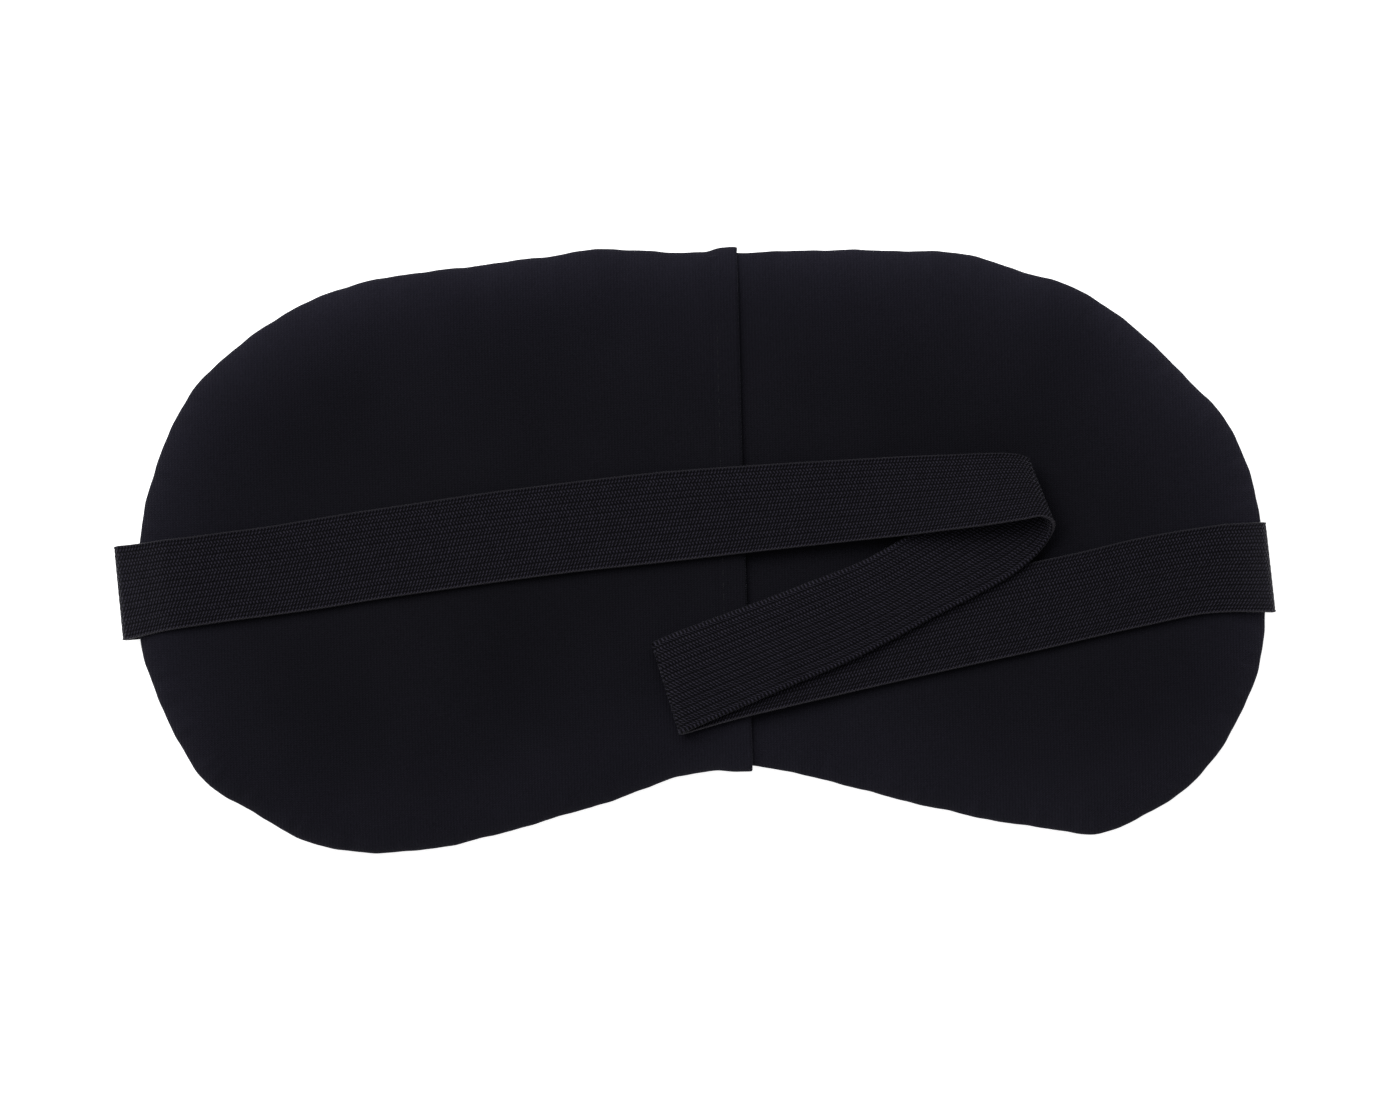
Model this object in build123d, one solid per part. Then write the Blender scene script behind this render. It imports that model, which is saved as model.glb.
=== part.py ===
from build123d import *
import os
from math import cos, hypot, radians, sin

# Sleep mask lying on its front, with its elastic strap folded up on its back.
# +X runs across the mask, +Y points to the forehead edge, +Z points out of the back.
# The origin is the centre of the box's underside. Lengths are in millimetres.

# ---- driving dimensions ----
cloth = 0.6              # thickness of the knitted cloth
gap = 0.3                # clearance between neighbouring soft layers
front_thickness = 0.8    # front cloth with its padding skin
pad_thickness = 4.2      # foam pad
turned_hem = 5.5         # width of the cloth turned under at a free edge

lap_edge_x = 10.6        # free edge of the left back panel
lap_width = 28.0         # how far the two back panels lap over each other
lap_proud = 1.2          # how far the sewn ends of the lap stand out of the outline
lap_tuck = 0.4           # how far the cloth under them is tucked in
flap_y_range = (-32.0, 48.0)   # part of the lap that can lift, between its sewn ends
flap_gap = 0.4           # clearance round the lifting part

rim_run = (0.0, 1.5, 5.0, 12.0)      # how far in from the edge the pillow has risen
rim_rise = (0.0, 0.36, 0.75, 1.0)    # to these shares of its full height
pad_inset = 7.0          # the pad stops short of the seam allowance

strap_width = 18.4       # width of the elastic
strap_thickness = 1.2
strap_seam_y = -7.0      # where the strap's middle meets both side seams
strap_reach = 117.2      # how far out the strap's two edge folds stand
strap_tail = 6.0         # length of the strap's end inside the seam
side_seam_x = {-1: -113.0, 1: 116.0}   # where the outline meets the strap's ends
edge_fold_radius = 1.2   # radius of the edge folds, to the middle of the elastic
lift_x = 104.0           # the strap peels away from the mask from here inwards
right_fold_x = 71.8      # outermost line of the right-hand fold
right_fold_radius = 1.6
left_fold_x = -6.3       # outermost line of the left-hand fold
left_fold_radius = 0.9
hinge_gap = 0.2          # split between two runs at a fold
open_gap = 0.7           # split where the loop is opened, at the right-hand crown edge

seam_inset = 1.3         # the perimeter seam runs this far inside the edge
thread = 0.25            # thickness of the sewing thread
hem_stitch_length = 2.0
hem_stitch_pitch = 2.5
tack_stitch_count = 7
tack_rows = (2.8, 4.6)   # how far inside the edge the strap's two rows of tacking run

# Outline of the mask, clockwise from the left side seam. The nose notch is at (12, -45).
outline = [
    (-113, -8), (-111, 12), (-102, 33), (-84, 48), (-62, 56), (-38, 58.6), (-18, 59.6), (2, 59),
    (22, 59.4), (45, 58.9), (67, 54.6), (88, 45), (104.5, 28.4), (113.5, 12), (116, -12), (111, -36),
    (99, -51.8), (76, -60.4), (50, -55.2), (28, -49.2), (12, -45.2), (-4, -46.2), (-24, -52.5),
    (-45, -58.5), (-66, -60.8), (-90, -52.9), (-106, -37),
]

# Middle line of each run of the strap, seen from above.
upper_line = [(-121, -7.5), (-104, -5.2), (-87, -3.2), (-46, 1.6), (0, 6.2), (38, 9), (58, 9.6), (76, 9)]
middle_line = [(-10, -30.9), (8, -23.6), (33.5, -13.8), (49.5, -4.9), (65.5, 4.9), (76, 11)]
lower_line = [(-10, -30), (33, -21), (79, -12.2), (104, -7.7), (121, -7)]
seam_line = [(-125, strap_seam_y), (125, strap_seam_y)]

# ---- heights of the layers, from the surface that the mask lies on ----
pad_top = front_thickness + pad_thickness
right_under = pad_top + gap + cloth
right_top = right_under + cloth
left_under = right_top + gap + cloth
left_top = left_under + cloth

tail_z = front_thickness + 0.5 + strap_thickness / 2
edge_fold_z = tail_z + edge_fold_radius
lower_z = left_top + 0.4 + strap_thickness / 2
left_fold_z = lower_z + left_fold_radius
middle_z = left_fold_z + left_fold_radius
right_fold_z = middle_z + right_fold_radius
upper_z = right_fold_z + right_fold_radius

deep = 90.0              # half depth of the cutting prisms along Y, more than the mask's
wide = 130.0             # half width of the cutting boxes, more than the mask's


# ---- helpers ----
def block(x_range, y_range, z_range):
    size = [high - low for low, high in (x_range, y_range, z_range)]
    middle = [(high + low) / 2 for low, high in (x_range, y_range, z_range)]
    return Pos(*middle) * Box(*size)


def moved_in(points, distance, proud=0.0):
    """The closed outline moved inwards, and outwards by proud where the panels lap."""
    result = []
    for i, (x, y) in enumerate(points):
        x0, y0 = points[i - 1]
        x1, y1 = points[(i + 1) % len(points)]
        length = hypot(x1 - x0, y1 - y0)
        out_x, out_y = -(y1 - y0) / length, (x1 - x0) / length
        in_lap = lap_edge_x - lap_width - 4 < x < lap_edge_x + 4
        push = (proud if in_lap else 0.0) - distance
        result.append((x + out_x * push, y + out_y * push))
    return result


def section(inset, z, proud=0.0):
    return Pos(0, 0, z) * make_face(Spline(*moved_in(outline, inset, proud), periodic=True))


def pillow(top, inset=0.0, proud=0.0):
    """Closed cushion shape on the front cloth, with the rim rising to a flat crown."""
    height = top - front_thickness
    levels = [section(inset + run, front_thickness + rise * height, proud)
              for run, rise in zip(rim_run, rim_rise)]
    return loft(levels, ruled=True)


def plan(line):
    """The strap seen from above along a middle line, as a tall prism."""
    sides = []
    for side in (1, -1):
        points = []
        for i, (x, y) in enumerate(line):
            x0, y0 = line[max(i - 1, 0)]
            x1, y1 = line[min(i + 1, len(line) - 1)]
            length = hypot(x1 - x0, y1 - y0)
            half = side * strap_width / 2
            points.append((x - half * (y1 - y0) / length, y + half * (x1 - x0) / length))
        sides.append(points)
    top, bottom = sides
    edges = [Spline(*top), Line(top[-1], bottom[-1]), Spline(*bottom), Line(bottom[0], top[0])]
    return extrude(make_face(edges), amount=2 * upper_z)


def band(points):
    """The strap seen from the side along a middle line, as a deep prism."""
    half = strap_thickness / 2
    upper = [(x, z + half) for x, z in points]
    lower = [(x, z - half) for x, z in reversed(points)]
    face = make_face(Polyline(*upper, *lower, close=True))
    return extrude(Plane.XZ * face, amount=deep, both=True)


def half_fold(x, z, radius, start):
    """A quarter of a strap's fold seen from the side, starting at an angle in degrees."""
    inner, outer = radius - strap_thickness / 2, radius + strap_thickness / 2
    ends = [(cos(radians(a)), sin(radians(a))) for a in (start, start + 90)]
    (c0, s0), (c1, s1) = ends
    face = make_face([
        CenterArc((x, z), outer, start, 90),
        Line((x + outer * c1, z + outer * s1), (x + inner * c1, z + inner * s1)),
        CenterArc((x, z), inner, start, 90),
        Line((x + inner * c0, z + inner * s0), (x + outer * c0, z + outer * s0)),
    ])
    return extrude(Plane.XZ * face, amount=deep, both=True)


def save(name, shape):
    export_step(shape, f"parts/{name}.step")


os.makedirs("parts", exist_ok=True)


# ---- mask ----
def front_panel():
    """Cloth under the whole mask, with its edge rolled up to the seam."""
    return loft([section(1.0, 0), section(0, front_thickness)], ruled=True)


def back_shell(top, proud):
    return pillow(top, 0, proud) - pillow(top - cloth, cloth, proud)


def strap_slots():
    """Gaps in the side seams that the strap's ends come out through."""
    half = strap_width / 2 + gap
    y_range = (strap_seam_y - half, strap_seam_y + half)
    z_range = (0, tail_z + strap_thickness / 2 + gap)
    return block((-wide, -100), y_range, z_range) + block((100, wide), y_range, z_range)


flap_x_range = (lap_edge_x - lap_width, lap_edge_x)


def back_panel_left():
    """Left half of the back, with the sewn ends of its lap but without the part that lifts."""
    shell = back_shell(left_top, lap_proud) & block((-wide, lap_edge_x), (-deep, deep), (0, left_top + 1))
    window = block((flap_x_range[0], lap_edge_x + 1), flap_y_range, (pad_top, left_top + 1))
    return shell - window - strap_slots()


def back_panel_right():
    """Right half of the back, which runs on under the lap."""
    shell = back_shell(right_top, -lap_tuck)
    return (shell & block((flap_x_range[0], wide), (-deep, deep), (0, left_top))) - strap_slots()


def foam_pad():
    return pillow(pad_top, pad_inset)


def perimeter_seam_thread():
    ring = section(seam_inset, front_thickness) - section(seam_inset + 0.4, front_thickness)
    return extrude(ring, amount=thread)


def turned_edge(x_range, top, clear):
    """Cloth turned under along a free edge of a back panel, clear of the rim at both ends."""
    low, high = flap_y_range
    return block(x_range, (low + clear, high - clear), (top - cloth, top))


def hem_stitches(x, z):
    """One straight row of stitches that holds a turned edge."""
    low, high = flap_y_range
    count = int((high - low - 2 * hem_stitch_pitch) / hem_stitch_pitch)
    first = (low + high) / 2 - hem_stitch_pitch * (count - 1) / 2
    half = hem_stitch_length / 2
    stitches = []
    for i in range(count):
        y = first + i * hem_stitch_pitch
        stitches.append(block((x - 0.2, x + 0.2), (y - half, y + half), (z, z + thread)))
    return Compound(children=stitches)


def pocket_flap():
    """The middle of the lap, free to lift away from the right panel."""
    low, high = flap_y_range
    y_range = (low + flap_gap, high - flap_gap)
    return block((flap_x_range[0] + flap_gap, lap_edge_x), y_range, (left_under, left_top))


def strap_tack(side):
    """Two rows of stitches that hold the strap's end inside a side seam."""
    pitch = strap_width / tack_stitch_count
    top = tail_z + strap_thickness / 2
    stitches = []
    for row in tack_rows:
        x = side_seam_x[side] - side * row
        for i in range(tack_stitch_count):
            y = strap_seam_y + (i - (tack_stitch_count - 1) / 2) * pitch
            stitches.append(block((x - 0.2, x + 0.2), (y - 0.8, y + 0.8), (top, top + thread)))
    return Compound(children=stitches)


# ---- strap: one length of elastic, cut at the folds where it bends ----
edge_fold_x = strap_reach - edge_fold_radius - strap_thickness / 2
right_fold_mid = right_fold_x - right_fold_radius - strap_thickness / 2
left_fold_mid = left_fold_x + left_fold_radius + strap_thickness / 2


def strap_turn(side, run_line):
    """End of the strap: out of the seam, round the edge fold and up to the crown of the back."""
    fold_x = side * edge_fold_x
    inner = side_seam_x[side] - side * strap_tail
    tail = band([(inner, tail_z), (fold_x, tail_z)])
    ramp = band([(fold_x, edge_fold_z + edge_fold_radius), (side * lift_x, lower_z)])
    under, over = (180, 90) if side < 0 else (270, 0)
    tail = tail + half_fold(fold_x, edge_fold_z, edge_fold_radius, under)
    ramp = ramp + half_fold(fold_x, edge_fold_z, edge_fold_radius, over)
    return (tail & plan(seam_line)) + (ramp & plan(run_line))


def strap_upper_run():
    """Top run, from the left crown edge to the upper half of the right-hand fold."""
    run = band([(-lift_x + hinge_gap, lower_z), (right_fold_mid, upper_z)])
    fold = half_fold(right_fold_mid, right_fold_z, right_fold_radius, 0)
    cut = block((-wide, wide), (-deep, deep), (0, right_fold_z + hinge_gap / 2))
    return (run + (fold - cut)) & plan(upper_line)


def strap_middle_run():
    """Middle run, from the lower half of the right-hand fold to the upper half of the left one."""
    run = band([(left_fold_mid, middle_z), (right_fold_mid, middle_z)])
    right = half_fold(right_fold_mid, right_fold_z, right_fold_radius, 270)
    left = half_fold(left_fold_mid, left_fold_z, left_fold_radius, 90)
    above = block((0, wide), (-deep, deep), (right_fold_z - hinge_gap / 2, upper_z + 5))
    below = block((-wide, 0), (-deep, deep), (0, left_fold_z + hinge_gap / 2))
    return (run + (right - above) + (left - below)) & plan(middle_line)


def strap_lower_run():
    """Bottom run, from the lower half of the left-hand fold to the right crown edge."""
    run = band([(left_fold_mid, lower_z), (lift_x - open_gap, lower_z)])
    fold = half_fold(left_fold_mid, left_fold_z, left_fold_radius, 180)
    above = block((-wide, wide), (-deep, deep), (left_fold_z - hinge_gap / 2, upper_z + 5))
    return (run + (fold - above)) & plan(lower_line)


# ---- write every piece ----
hem_left = lap_edge_x - turned_hem
hem_right = flap_x_range[0]

save("front_panel", front_panel())
save("foam_pad", foam_pad())
save("back_panel_left", back_panel_left())
save("back_panel_right", back_panel_right())
save("right_panel_hem", turned_edge((hem_right, hem_right + turned_hem), right_under, 2.0))
save("right_hem_stitches", hem_stitches(hem_right + turned_hem - 0.8, right_top))
save("perimeter_seam_thread", perimeter_seam_thread())
save("strap_tack_left", strap_tack(-1))
save("strap_tack_right", strap_tack(1))
save("pocket_flap", pocket_flap())
save("pocket_flap_hem", turned_edge((hem_left, lap_edge_x), left_under, flap_gap))
save("flap_hem_stitches", hem_stitches(hem_left + 0.8, left_top))
save("strap_left_turn", strap_turn(-1, upper_line))
save("strap_right_turn", strap_turn(1, lower_line))
save("strap_upper_run", strap_upper_run())
save("strap_middle_run", strap_middle_run())
save("strap_lower_run", strap_lower_run())
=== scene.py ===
from contextlib import contextmanager
from math import pi, radians

import bmesh
import bpy
import numpy as np
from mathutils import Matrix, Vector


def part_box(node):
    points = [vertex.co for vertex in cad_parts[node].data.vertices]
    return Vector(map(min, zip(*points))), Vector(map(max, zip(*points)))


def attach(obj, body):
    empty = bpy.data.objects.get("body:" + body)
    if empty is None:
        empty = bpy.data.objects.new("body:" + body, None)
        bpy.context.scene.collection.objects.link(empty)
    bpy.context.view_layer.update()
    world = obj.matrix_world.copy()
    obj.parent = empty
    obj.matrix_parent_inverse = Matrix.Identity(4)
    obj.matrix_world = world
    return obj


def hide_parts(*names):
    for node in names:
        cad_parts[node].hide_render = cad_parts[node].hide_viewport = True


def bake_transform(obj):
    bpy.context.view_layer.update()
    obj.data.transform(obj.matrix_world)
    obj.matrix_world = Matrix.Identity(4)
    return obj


# Black sleep mask lying on its face, with its elastic strap folded up on its back.
# Shapes are worked out in millimetres, in the frame of the CAD model, and built in metres.

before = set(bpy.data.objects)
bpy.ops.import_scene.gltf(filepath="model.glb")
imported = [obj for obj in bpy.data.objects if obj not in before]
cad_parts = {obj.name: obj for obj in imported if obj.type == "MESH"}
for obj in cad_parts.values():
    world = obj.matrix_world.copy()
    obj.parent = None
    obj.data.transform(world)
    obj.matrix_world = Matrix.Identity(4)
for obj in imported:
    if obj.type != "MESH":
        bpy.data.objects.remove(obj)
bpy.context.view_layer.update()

MM = 0.001


def low(node, axis):
    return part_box(node)[0]["xyz".index(axis)] / MM


def high(node, axis):
    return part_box(node)[1]["xyz".index(axis)] / MM


# ---- driving dimensions, from the frame where it has them ----
lap_edge = high("pocket_flap", "x")         # free edge of the left back panel
lap_start = low("back_panel_right", "x")    # hidden edge of the right back panel
lap_top = high("pocket_flap", "z")          # crown over the lap
right_top = high("back_panel_right", "z")   # crown of the right panel beside the lap
flap_low = low("pocket_flap", "y")          # part of the lap that lifts
flap_high = high("pocket_flap", "y")
pad_top = high("foam_pad", "z")

cloth = 0.5            # thickness of the knit
seam_z = 2.5           # height of the seam round the edge
fullness = 0.7         # how far the cloth bulges out past the outline
crown_width = 12.0     # how far in from the edge the pillow reaches its crown
hem_width = 5.5        # cloth turned under along the free edge
lap_proud = 0.85       # how far the sewn end of the lap stands out of the outline
hem_proud = 1.45       # how far the end of its hem does
hem_radius = 0.6       # radius of the hem's fold
hem_seam = 0.8         # how far a hem's stitches are from its inner edge
hem_clear = 1.6        # least distance of a turned hem's underside from the rim
pad_inset = 3.2        # how far the foam's edge stays inside the rim
flap_ease = 34         # how far from each of its sewn ends the lap reaches its full lift

strap_width = 18.4
strap_rows = 13        # lengthwise rows of knitting across the strap
row_pitch = strap_width / strap_rows
stitch_pitch = 0.68    # stitches along a row
loop_pitch = 0.8       # loops along the edges of the strap's back
loop_band = 0.75       # width of those loops
cord_band = 0.30       # width of the cords along the edges of its face
strap_step = 0.8       # mesh length along the strap
half_thickness = 0.5
edge_radius = 0.22     # rounding of the strap's edges

half_length = 110      # of the mask, roughly
half_height = 60
rim_light_reach = 7.5       # how far in from the rim the painted light on the knit reaches
wide_light_reach = 18.0      # how far in the wider band of painted light on the knit reaches
turn_light_reach = 5.0        # how far along the strap the painted light reaches, each way from its turns

outline = [
    (-113.6, -7), (-111.6, 11), (-102, 33), (-84, 48.2), (-73, 53.3), (-57, 56.6), (-38, 58.5), (-22, 60),
    (2, 59), (22, 59.5), (45, 58.9), (57, 57.8), (67, 54.7), (80, 50), (90, 42.9), (99, 34.1),
    (108.7, 23.5), (114, 11), (116.3, -9), (115.3, -24.5), (111.1, -36.4), (99, -52.2), (88, -58.3),
    (80.5, -60.8), (71, -59.5), (60, -57.5), (50, -55.1), (28, -49.2), (12, -45.2), (-4, -46.2),
    (-18, -51), (-26, -53.5), (-45, -58.7), (-57, -60.7), (-70, -60.7), (-84.5, -56.6), (-91, -52.2),
    (-100.3, -46.2), (-105.8, -37.9), (-109.4, -29.8), (-112.4, -22),
]


# ---- curves ----
def through(points, per_span, closed=False):
    """A smooth curve through points, with per_span samples to each span, or to all of them."""
    p = np.array(points, float)
    if closed:
        q = np.vstack([p[-1:], p, p[:2]])
    else:
        q = np.vstack([2 * p[:1] - p[1:2], p, 2 * p[-1:] - p[-2:-1]])
    step = np.diff(q, axis=0)
    length = np.linalg.norm(step, axis=1)[:, None]
    slope = step / length
    tangent = (slope[:-1] * length[1:] + slope[1:] * length[:-1]) / (length[:-1] + length[1:])
    counts = per_span if hasattr(per_span, "__len__") else [per_span] * (len(q) - 3)
    rows = []
    for i, count in enumerate(counts):
        s = np.arange(count)[:, None] / count
        a, b, size = q[i + 1], q[i + 2], length[i + 1]
        rows.append((2 * s**3 - 3 * s**2 + 1) * a + (s**3 - 2 * s**2 + s) * size * tangent[i]
                    + (3 * s**2 - 2 * s**3) * b + (s**3 - s**2) * size * tangent[i + 1])
    if not closed:
        rows.append(q[-2:-1])
    return np.vstack(rows)


def run_of(points):
    """Length along a line of points, from its first."""
    return np.concatenate([[0], np.cumsum(np.linalg.norm(np.diff(points, axis=0), axis=1))])


def evenly(points, count):
    """count + 1 points evenly spaced along a line of points."""
    run = run_of(points)
    at = np.linspace(0, run[-1], count + 1)
    return np.stack([np.interp(at, run, points[:, k]) for k in range(points.shape[1])], axis=1)


def smooth(x, start, end):
    """0 before start, 1 after end, and a soft step between them."""
    t = np.clip((x - start) / (end - start), 0, 1)
    return t * t * (3 - 2 * t)


# ---- meshes ----
def store(mesh, key, vectors):
    """Keeps three numbers at each point of a mesh, for its material."""
    layer = mesh.attributes.new(key, "FLOAT_VECTOR", "POINT")
    layer.data.foreach_set("vector", np.asarray(vectors, np.float32).ravel())


def piece(name, points, faces, material, attributes=None):
    """A mesh object from points in millimetres."""
    mesh = bpy.data.meshes.new(name)
    mesh.from_pydata((np.asarray(points) * MM).tolist(), [], [list(map(int, f)) for f in faces])
    for key, vectors in (attributes or {}).items():
        store(mesh, key, vectors)
    mesh.materials.append(material)
    mesh.validate()
    mesh.shade_smooth()
    obj = bpy.data.objects.new(name, mesh)
    bpy.context.scene.collection.objects.link(obj)
    return obj


def points_of(obj):
    """An object's own vertices in millimetres."""
    co = np.empty(len(obj.data.vertices) * 3)
    obj.data.vertices.foreach_get("co", co)
    return co.reshape(-1, 3) / MM


def place_points(obj, points):
    """Moves an object's vertices to places in millimetres."""
    obj.data.vertices.foreach_set("co", (points * MM).ravel())
    obj.data.update()


def keep_rest(obj):
    """Stores each point's place at rest, in millimetres, for the materials."""
    store(obj.data, "rest", points_of(obj))


def keep_painted_light(obj):
    """Stores painted light on the knit near its rim: a narrow band, most at the lower right, and a wide
    one, most at the forehead edge.
    """
    p = points_of(obj)
    distance, _ = edge_distance(p[:, :2])
    lower_right = p[:, 0] / half_length - p[:, 1] / half_height
    painted_light = np.exp(-distance / rim_light_reach) * np.interp(lower_right, (-1.2, 1.0), (0.15, 1.0))
    fuzz_and_rim_light = np.exp(-distance / wide_light_reach) * np.interp(p[:, 1], (-half_height, half_height), (0.6, 1.0))
    store(obj.data, "painted_light", np.column_stack([painted_light, fuzz_and_rim_light, fuzz_and_rim_light]))


@contextmanager
def editing(obj):
    """An object's mesh opened for bmesh edits, and written back after them."""
    bm = bmesh.new()
    bm.from_mesh(obj.data)
    yield bm
    bm.to_mesh(obj.data)
    bm.free()


def thicken(obj, thickness):
    """Gives a cloth surface its thickness, on the inner side, and closes its edges."""
    modifier = obj.modifiers.new("thickness", "SOLIDIFY")
    modifier.thickness = thickness * MM
    modifier.offset = -1
    modifier.use_rim = True
    dg = bpy.context.evaluated_depsgraph_get()
    mesh = bpy.data.meshes.new_from_object(obj.evaluated_get(dg))
    obj.modifiers.clear()
    obj.data = mesh


# ---- materials ----
class Nodes:
    """Short calls for a material's node tree, with lengths in millimetres."""

    def __init__(self, name, **sockets):
        self.material = bpy.data.materials.new(name)
        self.material.use_nodes = True
        self.tree = self.material.node_tree
        self.shader = self.tree.nodes["Principled BSDF"]
        for key, value in sockets.items():
            self.shader.inputs[key.replace("_", " ")].default_value = value

    def put(self, socket, value):
        if isinstance(value, bpy.types.NodeSocket):
            self.tree.links.new(value, socket)
        else:
            socket.default_value = value

    def math(self, operation, a, b=0.0, c=0.0):
        node = self.tree.nodes.new("ShaderNodeMath")
        node.operation = operation
        for socket, value in zip(node.inputs, (a, b, c)):
            self.put(socket, value)
        return node.outputs[0]

    def add(self, a, b):
        return self.math("ADD", a, b)

    def multiply(self, a, b):
        return self.math("MULTIPLY", a, b)

    def linear(self, x, slope, offset):
        return self.math("MULTIPLY_ADD", x, slope, offset)

    def parts(self, attribute):
        """The three numbers of a point attribute."""
        source = self.tree.nodes.new("ShaderNodeAttribute")
        source.attribute_name = attribute
        split = self.tree.nodes.new("ShaderNodeSeparateXYZ")
        self.tree.links.new(source.outputs["Vector"], split.inputs[0])
        return source.outputs["Vector"], split.outputs

    def noise(self, vector, scale, detail, roughness=0.5):
        node = self.tree.nodes.new("ShaderNodeTexNoise")
        self.put(node.inputs["Vector"], vector)
        node.inputs["Scale"].default_value = scale
        node.inputs["Detail"].default_value = detail
        node.inputs["Roughness"].default_value = roughness
        return node.outputs["Fac"]

    def chance(self, a, b):
        """A random number for each pair of whole numbers."""
        cell = self.tree.nodes.new("ShaderNodeCombineXYZ")
        self.put(cell.inputs[0], a)
        self.put(cell.inputs[1], b)
        node = self.tree.nodes.new("ShaderNodeTexWhiteNoise")
        self.put(node.inputs["Vector"], cell.outputs[0])
        return node.outputs[0]

    def choose(self, where, a, b):
        """a where it is 1, b where it is 0."""
        return self.add(self.multiply(a, where), self.multiply(b, self.math("SUBTRACT", 1.0, where)))

    def ramp(self, fac, *stops):
        """Colours along a ramp: pairs of a place and a colour, or a number for a grey."""
        node = self.tree.nodes.new("ShaderNodeValToRGB")
        self.put(node.inputs[0], fac)
        elements = node.color_ramp.elements
        for i, (place, colour) in enumerate(stops):
            element = elements[i] if i < 2 else elements.new(place)
            element.position = place
            element.color = (*(colour if isinstance(colour, tuple) else (colour,) * 3), 1)
        return node.outputs[0]

    def mix(self, fac, a, b, blend="MIX"):
        """Colour a where fac is 0, b where it is 1."""
        node = self.tree.nodes.new("ShaderNodeMix")
        node.data_type = "RGBA"
        node.blend_type = blend
        for socket, value in zip((node.inputs[0], node.inputs[6], node.inputs[7]), (fac, a, b)):
            self.put(socket, value)
        return node.outputs[2]

    def times(self, a, b):
        """Two colours multiplied."""
        return self.mix(1.0, a, b, "MULTIPLY")

    def bump(self, height, distance, strength, normal=None):
        node = self.tree.nodes.new("ShaderNodeBump")
        self.put(node.inputs["Height"], height)
        node.inputs["Distance"].default_value = distance * MM
        node.inputs["Strength"].default_value = strength
        if normal is not None:
            self.put(node.inputs["Normal"], normal)
        return node.outputs[0]

    def finish(self, colour, normal, roughness=None):
        self.put(self.shader.inputs["Base Color"], colour)
        self.put(self.shader.inputs["Normal"], normal)
        if roughness is not None:
            self.put(self.shader.inputs["Roughness"], roughness)
        return self.material


def knit_material():
    """Fine black jersey: columns of small V stitches, a soft fuzz and uneven dye, with painted shade
    between the stitches and painted light near the rim.
    """
    m = Nodes("black_knit", Roughness=0.92, Specular_IOR_Level=0.04, Sheen_Weight=0.12,
              Sheen_Roughness=0.3, Sheen_Tint=(0.7, 0.7, 0.86, 1))
    vector, (x, y, _) = m.parts("rest")
    wale, course = 0.62, 0.46    # pitch of the stitches across and along the cloth
    v_slope = 1.3
    column = m.math("DIVIDE", x, wale)
    across = m.math("SUBTRACT", m.math("FRACT", column), 0.5)
    lean = m.multiply(m.math("ABSOLUTE", across), v_slope)
    phase = m.add(m.math("DIVIDE", y, course), lean)
    loops = m.math("SINE", m.multiply(phase, 2 * pi))
    groove = m.math("COSINE", m.multiply(across, 2 * pi))
    height = m.add(m.multiply(loops, 0.35), m.multiply(groove, 0.5))
    fuzz_and_rim_light = m.noise(vector, 2.4, 4, 0.65)
    patches = m.noise(vector, 0.035, 3)
    base = m.ramp(patches, (0.3, (0.0045, 0.0043, 0.0062)), (0.7, (0.0058, 0.0055, 0.0079)))
    # painted shade: darker in the grooves between the stitches, lighter on their loops
    light = m.ramp(height, (0.0, 0.83), (1.0, 1.09))
    speckle = m.ramp(fuzz_and_rim_light, (0.3, 0.80), (0.75, (1.26, 1.26, 1.24)))
    # painted light near the rim: lighter in a narrow band, and lighter and bluer in a wide one
    _, (painted_light, wide_light_share, _) = m.parts("painted_light")
    painted_rim_light = m.ramp(painted_light, (0.0, 1.0), (1.0, (1.7, 1.7, 1.65)))
    painted_wide_light = m.ramp(wide_light_share, (0.0, 1.0), (1.0, (1.75, 1.75, 1.95)))
    base = m.times(m.times(base, painted_rim_light), painted_wide_light)
    colour = m.times(m.times(base, light), speckle)
    normal = m.bump(height, 0.09, 0.8, m.bump(fuzz_and_rim_light, 0.2, 0.5))
    roughness = m.add(m.multiply(fuzz_and_rim_light, 0.12), 0.84)
    return m.finish(colour, normal, roughness)


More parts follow.
